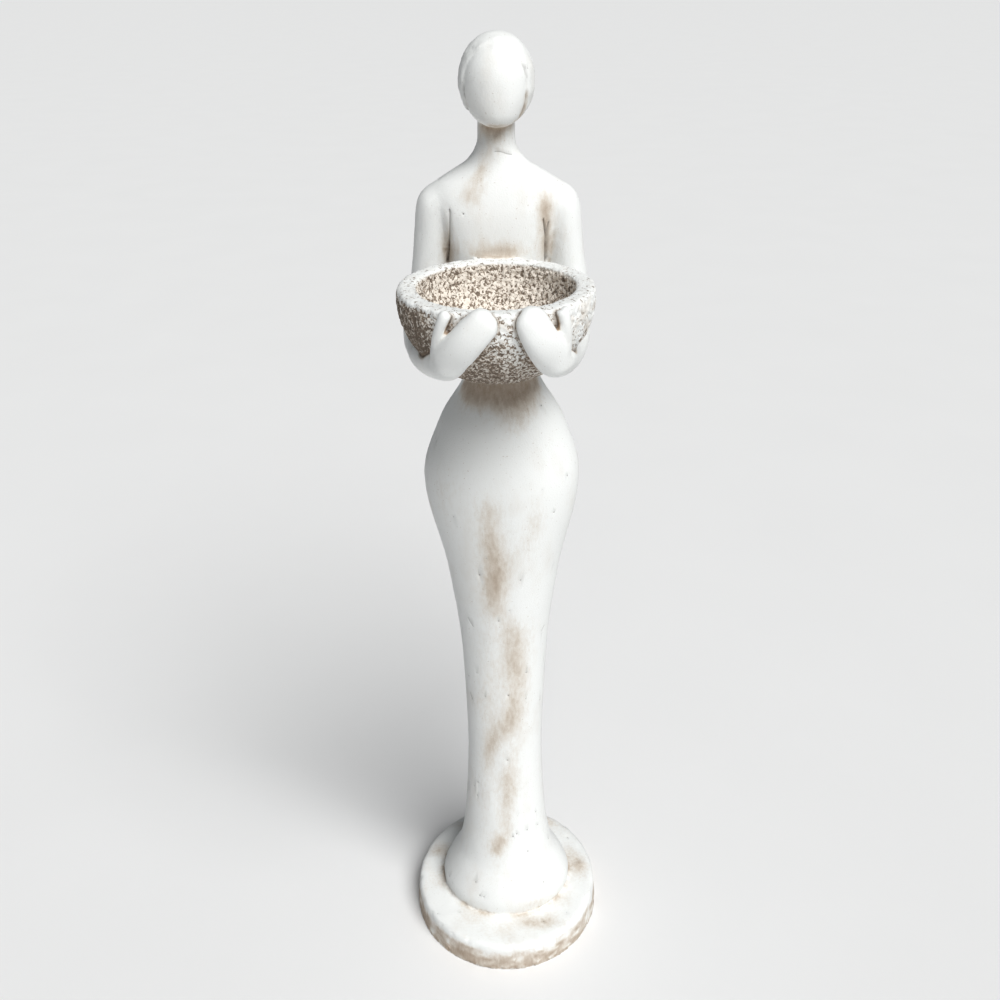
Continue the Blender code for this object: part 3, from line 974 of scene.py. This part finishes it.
def base_relief(skin, hem):
    """Plaster round the hem, lumps on the base's top, and chips in its edges. Returns the lower chips."""
    co = skin.co
    low = co[:, 2] < NEAR_BASE
    part = base_part(co)
    top = smoothstep(*TOP_LEVELS, co[:, 2])
    out = np.hypot(co[:, 0], co[:, 1])
    move = part * smoothstep(*HEM_FADE, hem) * (noise_field(co, "base swell", low) - SKIN_SUNK)
    plaster = low * bump(hem, PLASTER_WIDTH) * PLASTER_HEIGHT * noise_field(co, "hem plaster", low)
    move += plaster - bump(hem, HEM_GROOVE_WIDTH) * HEM_GROOVE_DEPTH
    for across, back, radius, height in BASE_LUMPS:
        away = np.hypot(co[:, 0] - across, co[:, 1] - back)
        move += part * top * height * bump(away, radius)
    chips = smoothstep(*CHIPPED, noise_field(co, "base chips", low))
    low_edge = smoothstep(*LOW_CHIP_LEVELS, co[:, 2]) * smoothstep(*LOW_CHIP_RADII, out)
    high_edge = smoothstep(*HIGH_CHIP_LEVELS, co[:, 2]) * smoothstep(*HIGH_CHIP_RADII, out)
    move -= part * chips * (LOW_CHIP_DEPTH * low_edge + HIGH_CHIP_DEPTH * high_edge)
    skin.push(move * smoothstep(*UNDERSIDE_FACING, skin.normal[:, 2]))
    return part * chips * low_edge


def small_features(skin, holes):
    """Hairline cracks and air holes. Returns how dark each point is in them, 0 to 1."""
    co = skin.co
    dark = np.zeros(len(co))
    move = np.zeros(len(co))
    for path in CRACKS:
        crack = bump(distance_to_path(across_up(co), path), CRACK_WIDTH) * on_front(co)
        dark = np.maximum(dark, CRACK_DARK * crack)
        move -= CRACK_DEPTH * crack
    for place, radius in holes:
        hole = bump(np.linalg.norm(co - place, axis=1) ** 2, radius**2)
        dark = np.maximum(dark, HOLE_DARK * hole)
        move -= HOLE_DEPTH * radius * hole
    skin.push(move)
    return dark


def brown_patches(co, normal, patch_table, columns, facing):
    """Brown from a table of soft patches: patina, and in some rows shadow painted in brown."""
    total = np.zeros(len(co))
    for first, second, half_first, half_second, strength in patch_table:
        a = (co[:, columns[0]] - first) / half_first
        b = (co[:, columns[1]] - second) / half_second
        total += strength * np.exp(-((a**2 + b**2) ** PATCH_SQUARENESS))
    return total * smoothstep(*PATCH_FACING, normal @ np.array(facing))


def base_patina(co, normal, hem):
    """The brown round the hem, in streaks on the base's side, and in clouds on its top."""
    x, _, z = co.T
    low = z < NEAR_BASE
    total = HEM_BROWN * bump(hem, HEM_BROWN_WIDTH) * (HEM_BROWN_MEAN + noise_field(co, "hem patina", low))
    side = smoothstep(*SIDE_FACING, np.hypot(normal[:, 0], normal[:, 1])) * (z < SIDE_TOP)
    streaks = SIDE_BROWN + SIDE_SMEARS * noise_field(co, "side smears", low)
    streaks += SIDE_BROWN_RIGHT * smoothstep(*SIDE_RIGHT, x)
    total += side * streaks * smoothstep(*SIDE_LEVELS, z)
    total += side * FOOT_BROWN * smoothstep(*FOOT_LEVELS, z)
    on_top = low * (normal[:, 2] > TOP_FACING)
    return total + on_top * TOP_BROWN * smoothstep(*TOP_CLOUDED, noise_field(co, "top clouds", low))


def patina_and_painted_shadow(skin, hem, hairline):
    """Where the brown was left when the whitewash was rubbed over, and shadow painted in brown under the
    chin and the bowl, 0 to 1.
    """
    co, normal = skin.co, skin.normal
    x, y, z = co.T
    high = z > PATCHES_FROM
    total = brown_patches(co, normal, FRONT_STAINS_AND_SHADOWS, (0, 2), (0, -1, 0)) * high * (y > PATCHES_FRONT)
    total += brown_patches(co, normal, BACK_STAINS, (0, 2), (0, 1, 0)) * high
    total += brown_patches(co, normal, BASE_STAINS, (0, 1), (0, 0, 1)) * ~high
    total += base_patina(co, normal, hem)
    under_hair = smoothstep(*HAIR_BROWN_LEVELS, z) * smoothstep(*HAIR_BROWN_SIDE, x)
    total += HAIR_BROWN * bump(hairline, HAIR_BROWN_WIDTH) * under_hair * (z > CHIN_LEVEL)
    broken = PATINA_MEAN + noise_field(co, "patina breaks")
    legs = smoothstep(*LEG_HEAD, z) * smoothstep(*LEG_FOOT, z)
    cloudy = smoothstep(*LEG_CLOUDED, noise_field(co, "leg clouds"))
    return np.clip(total * broken + LEG_BROWN * legs * cloudy, 0, 1) * (1 - bowl_part(co))


def shaded_from_sky(mesh):
    """How much of the sky near things hide at each vertex, 0 to 1."""
    tree = BVHTree.FromPolygons([v.co for v in mesh.vertices], [p.vertices[:] for p in mesh.polygons])
    golden = math.pi * (3 - math.sqrt(5))
    hidden = np.zeros(len(mesh.vertices))
    for vert in mesh.vertices:
        normal = vert.normal
        across = normal.orthogonal().normalized()
        other = normal.cross(across)
        start = vert.co + normal * SKY_LIFT
        for k in range(SKY_RAYS):
            level = (k + 0.5) / SKY_RAYS
            wide = math.sqrt(level)
            angle = golden * (k + SKY_TURN * (vert.index % SKY_PATTERNS))
            way = across * (wide * math.cos(angle)) + other * (wide * math.sin(angle))
            hit = tree.ray_cast(start, way + normal * math.sqrt(1 - level), SKY_REACH)
            if hit[0] is not None:
                hidden[vert.index] += (1 - hit[3] / SKY_REACH) / SKY_RAYS
    return hidden


def fewer_faces(mesh, detail):
    """Drops faces where the skin is plain, and keeps them where it has detail."""
    obj = new_object("statue_skin", mesh)
    group = obj.vertex_groups.new(name="plain")
    levels = np.round((1 - np.clip(detail, 0, 1)) * DETAIL_LEVELS).astype(int)
    for level in range(1, DETAIL_LEVELS + 1):
        group.add(np.flatnonzero(levels == level).tolist(), level / DETAIL_LEVELS, "REPLACE")
    triangles = sum(len(p.vertices) - 2 for p in mesh.polygons)
    fewer = obj.modifiers.new("fewer_faces", "DECIMATE")
    fewer.ratio = min(1.0, SKIN_TRIANGLES / triangles)
    fewer.vertex_group = group.name
    fewer.vertex_group_factor = DETAIL_FINENESS
    return evaluated_mesh(obj)


def smooth_statue():
    """The statue's skin before its relief, with how it bends at each vertex, and the air holes to come."""
    mesh = evened(solid_surface(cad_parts["statue"]))
    shape_hands(Skin(mesh))
    mesh = evened(mesh)
    skin = Skin(mesh)
    without_facets(skin)
    round_base(skin)
    skin.store("bend", np.einsum("ij,ij->i", skin.spread(skin.co, BEND_STEPS) - skin.co, skin.normal))
    holes = hole_places(skin)
    refine(mesh, needs_finer_faces(skin.co, holes))
    skin = Skin(mesh)
    return skin, skin.taken("bend"), holes


def finished_mesh(skin, bend, holes):
    """Gives the skin its relief and its marks for the material, and drops the faces it can spare."""
    bowl = bowl_part(skin.co)
    seam = skin.gap_to_edge(bowl > 0.5)
    hem = skin.gap_to_edge(base_part(skin.co) > 0.5)
    hairline = skin.gap_to_edge(face_part(skin.co) > 0.5)
    inside, rim = hollow_part(skin.co), rim_part(skin.co)
    brown = patina_and_painted_shadow(skin, hem, hairline)
    # The bowl's paleness: its own wear and colour, painted light on her left, and painted shade low down and
    # on her right
    worn_and_lit = 1 - bowl_brown(skin.co)
    on_chest = smoothstep(*CHEST_FRONT, skin.co[:, 1]) * smoothstep(*CHEST_FOOT, skin.co[:, 2])
    bend = bend * smoothstep(*BEND_FROM_HEM, hem)
    slot = casting_relief(skin, seam, hairline)
    chipped = base_relief(skin, hem)
    small = small_features(skin, holes)
    pit = bowl_relief(skin)

    chest_line = CHEST_LINE * bump(seam, CHEST_LINE_WIDTH) * (np.abs(skin.co[:, 0]) < CHEST_LINE_HALF_LENGTH)
    marks = {
        "pit": pit,
        "worn_and_lit": worn_and_lit,
        "bowl": bowl,
        "inside": inside,
        "rim": rim,
        "brown": np.maximum(brown, CHIP_BROWN * chipped),
        "seam": smoothstep(SEAM_REACH, 0.0, seam) * (1 - on_chest) + chest_line * on_chest,
        "hairline": bump(hairline, HAIRLINE_DARK_WIDTH) * hair_line_dark(skin.co),
        "dark": np.maximum(slot, small),
        "crease": smoothstep(*CREASE_BEND, bend),
        "edge": smoothstep(*EDGE_BEND, -bend),
    }
    for name, values in marks.items():
        skin.store(name, values)
    near_lines = np.maximum(bump(seam, LINE_DETAIL_WIDTH), bump(hairline, LINE_DETAIL_WIDTH))
    hair = HAIR_DETAIL * hair_part(skin.co)
    fine = np.maximum.reduce([slot, small, near_lines, hair, np.abs(bend) / BEND_DETAIL])
    return fewer_faces(skin.mesh, np.maximum(bowl, FORM_DETAIL * fine.clip(0, 1)))


def statue_skin():
    """The whole statue as one fine mesh, with what its material needs to know at each vertex."""
    mesh = finished_mesh(*smooth_statue())
    skin = Skin(mesh)
    low, high = CAD_BOX
    skin.co = np.clip(skin.co, np.array(low), np.array(high))
    skin.update()
    y, z = skin.co[:, 1], skin.co[:, 2]
    between_arms = smoothstep(*CHEST_FOOT, z) * smoothstep(*CHEST_HEAD, z) * (y > CHEST_SURFACE) * (y < 0)
    sheltered = skin.spread(shaded_from_sky(mesh), SHELTER_STEPS)
    skin.store("sheltered", sheltered * (1 - CHEST_LIT * between_arms))
    mesh.shade_smooth()
    return mesh


class Nodes:
    """Short calls for a material's nodes."""

    def __init__(self, name):
        self.material = bpy.data.materials.new(name)
        self.material.use_nodes = True
        self.tree = self.material.node_tree
        self.shader = self.tree.nodes["Principled BSDF"]
        self.place = self.add("ShaderNodeTexCoord").outputs["Object"]

    def add(self, kind, **settings):
        node = self.tree.nodes.new(kind)
        for name, value in settings.items():
            setattr(node, name, value)
        return node

    def put(self, socket, value):
        if isinstance(value, bpy.types.NodeSocket):
            self.tree.links.new(value, socket)
        else:
            socket.default_value = value

    def attribute(self, name):
        return self.add("ShaderNodeAttribute", attribute_name=name).outputs["Fac"]

    def noise(self, size, detail, stretch=EVEN, swirl=0.0):
        """Noise from 0 to 1 with features of about this size."""
        mapping = self.add("ShaderNodeMapping")
        self.put(mapping.inputs["Vector"], self.place)
        self.put(mapping.inputs["Scale"], [1 / (size * s) for s in stretch])
        node = self.add("ShaderNodeTexNoise")
        self.put(node.inputs["Vector"], mapping.outputs["Vector"])
        self.put(node.inputs["Scale"], 1.0)
        self.put(node.inputs["Detail"], detail)
        self.put(node.inputs["Distortion"], swirl)
        return node.outputs["Fac"]

    def math(self, operation, a, b=0.0, c=0.0):
        node = self.add("ShaderNodeMath", operation=operation)
        for socket, value in zip(node.inputs, (a, b, c)):
            self.put(socket, value)
        return node.outputs[0]

    def most(self, a, b):
        return self.math("MAXIMUM", a, b)

    def weighed(self, *terms):
        """The sum of values, each times its weight. A plain number is added as it is."""
        total = 0.0
        for term in terms:
            if isinstance(term, tuple):
                total = self.math("MULTIPLY_ADD", term[0], term[1], total)
            else:
                total = self.math("ADD", total, term)
        return total

    def ramp(self, value, low, high, start=0.0, end=1.0):
        """The value's stretch from low to high, eased, as start to end."""
        node = self.add("ShaderNodeMapRange", interpolation_type="SMOOTHSTEP")
        self.put(node.inputs["Value"], value)
        limits = {"From Min": low, "From Max": high, "To Min": start, "To Max": end}
        for name, limit in limits.items():
            self.put(node.inputs[name], limit)
        return node.outputs["Result"]

    def mix(self, factor, a, b):
        node = self.add("ShaderNodeMix", data_type="RGBA")
        self.put(node.inputs["Factor"], factor)
        self.put(node.inputs[6], a)
        self.put(node.inputs[7], b)
        return node.outputs[2]


def cast_stone():
    """Whitewash rubbed over a brown patina, thin in hollows and worn to white on edges."""
    n = Nodes("cast_stone")
    bowl, inside, rim, pit, worn_and_lit = (n.attribute(name) for name in ("bowl", "inside", "rim", "pit", "worn_and_lit"))
    brown, crease, edge = (n.attribute(name) for name in ("brown", "crease", "edge"))
    sheltered, seam = (n.attribute(name) for name in ("sheltered", "seam"))
    clouds = n.noise(*CLOUDS, CLOUDS_STRETCH)
    brushed = n.noise(*BRUSHED, BRUSHED_STRETCH)
    grain = n.noise(*GRAIN)
    curls = n.noise(*CURLS, swirl=CURLS_SWIRL)
    patches = n.noise(*PATCHES)

    # Smooth skin: white, warm where the patina shows through, brown where it was left and where shadow is
    # painted under the chin and the bowl
    uneven = n.weighed((brushed, 1.0), (grain, UNEVEN_GRAIN), -UNEVEN_MEAN)
    left = n.weighed(
        (brown, 1.0),
        (n.ramp(sheltered, *SHELTER_SPAN), LEFT_IN_SHELTER),
        (n.ramp(seam, *SEAM_SPAN), LEFT_AT_SEAM),
        (crease, LEFT_IN_CREASE),
        (edge, LEFT_ON_EDGE),
    )
    wash = n.mix(n.ramp(clouds, *CLOUDS_WARM), WHITEWASH, WARM_WASH)
    wash = n.mix(n.ramp(n.weighed((left, 1.0), (uneven, WARM_UNEVEN)), *LEFT_WARM), wash, WARM_WASH)
    rubbed = n.ramp(n.weighed((left, 1.0), (uneven, RUBBED_UNEVEN)), *RUBBED_SPAN)
    smooth_stone = n.mix(rubbed, wash, PATINA)
    smooth_stone = n.mix(n.ramp(n.noise(*PINHOLES), *PINHOLE_SPAN), smooth_stone, PATINA)

    # Rough skin: pale crumbs between brown pits, cream inside, nearly white on the rim, with more and
    # browner pits and a warmer wash where shade is painted low down and on her right
    marked = ((worn_and_lit, ROUGH_WORN_AND_LIT), (pit, ROUGH_PIT), (patches, ROUGH_PATCHES))
    rough = n.weighed((curls, 1.0), *marked, ROUGH_START)
    hollows = n.ramp(rough, *HOLLOW_SPAN)
    pale = n.mix(n.ramp(patches, *PATCHES_WARM), WHITEWASH, WARM_WASH)
    pale = n.mix(inside, pale, CREAM)
    pale = n.mix(n.math("MULTIPLY", rim, RIM_WHITE), pale, WHITEWASH)
    pale = n.mix(n.ramp(worn_and_lit, *BROWN_WARM), pale, WARM_WASH)
    rough_stone = n.mix(n.math("MULTIPLY", hollows, n.ramp(rim, *TAN_SPAN)), pale, PIT_TAN)
    rough_stone = n.mix(n.ramp(rough, *PIT_SPAN), rough_stone, PIT_BROWN)
    rough_stone = n.mix(n.ramp(seam, *SEAM_BROWN), rough_stone, PATINA)
    colour = n.mix(bowl, smooth_stone, rough_stone)

    # Darkest in slots, cracks, holes and along the seams between the hands and the bowl
    deep = n.most(n.attribute("dark"), n.ramp(crease, *CREASE_DARK))
    deep = n.most(deep, n.ramp(n.weighed((seam, 1.0), (uneven, SEAM_UNEVEN)), *SEAM_DARK))
    deep = n.most(deep, n.math("MULTIPLY", n.attribute("hairline"), HAIRLINE_DARK))
    n.put(n.shader.inputs["Base Color"], n.mix(deep, colour, DARK_CREASE))

    n.put(n.shader.inputs["Roughness"], n.ramp(n.math("ADD", rubbed, bowl), 0.0, 1.0, *ROUGHNESS))
    n.put(n.shader.inputs["Specular IOR Level"], SHINE)
    fine = n.add("ShaderNodeBump")
    n.put(fine.inputs["Strength"], GRAIN_STRENGTH)
    n.put(fine.inputs["Distance"], GRAIN_DEPTH)
    sunk = n.math("MULTIPLY", hollows, HOLLOW_GRAIN)
    n.put(fine.inputs["Height"], n.math("MULTIPLY_ADD", bowl, sunk, grain))
    n.put(n.shader.inputs["Normal"], fine.outputs["Normal"])
    return n.material


def floor_material():
    n = Nodes("pale_floor")
    n.put(n.shader.inputs["Base Color"], n.mix(n.noise(*FLOOR_CLOUDS), *FLOOR_COLOURS))
    n.put(n.shader.inputs["Roughness"], FLOOR_ROUGHNESS)
    n.put(n.shader.inputs["Specular IOR Level"], FLOOR_SHINE)
    return n.material


def make_statue():
    piece = new_object("statue_stone", statue_skin())
    piece.data.materials.clear()
    piece.data.materials.append(cast_stone())
    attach(piece, "root")
    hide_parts("statue")


def make_floor():
    bm = bmesh.new()
    bmesh.ops.create_circle(bm, cap_ends=True, segments=FLOOR_SIDES, radius=FLOOR_RADIUS)
    mesh = bpy.data.meshes.new("floor")
    bm.to_mesh(mesh)
    bm.free()
    floor = new_object("floor", mesh)
    floor.location.z = -FLOOR_DROP
    mesh.materials.append(floor_material())


def light_studio():
    """A distant soft key light from the front, a faint sky, and the picture's exposure."""
    world = bpy.data.worlds.new("studio")
    world.use_nodes = True
    background = world.node_tree.nodes["Background"]
    background.inputs["Color"].default_value = SKY_COLOUR
    background.inputs["Strength"].default_value = SKY_STRENGTH
    bpy.context.scene.world = world
    data = bpy.data.lights.new("key", "SUN")
    data.energy = KEY_STRENGTH
    data.angle = KEY_SOFTNESS
    data.color = KEY_COLOUR
    key = new_object("key", data)
    key.rotation_euler = Vector(KEY_TOWARDS).to_track_quat("Z", "Y").to_euler()
    view = bpy.context.scene.view_settings
    view.view_transform = "Standard"
    view.exposure = EXPOSURE
    view.gamma = GAMMA


def place_camera():
    data = bpy.data.cameras.new("camera")
    data.sensor_width = SENSOR
    data.lens = FOCAL_LENGTH
    camera = new_object("camera", data)
    turn = Matrix.Rotation(EYE_PITCH, 4, "X") @ Matrix.Rotation(EYE_ROLL, 4, "Z")
    camera.matrix_world = Matrix.Translation(EYE) @ turn
    bpy.context.scene.camera = camera


place_camera()
make_statue()
make_floor()
light_studio()
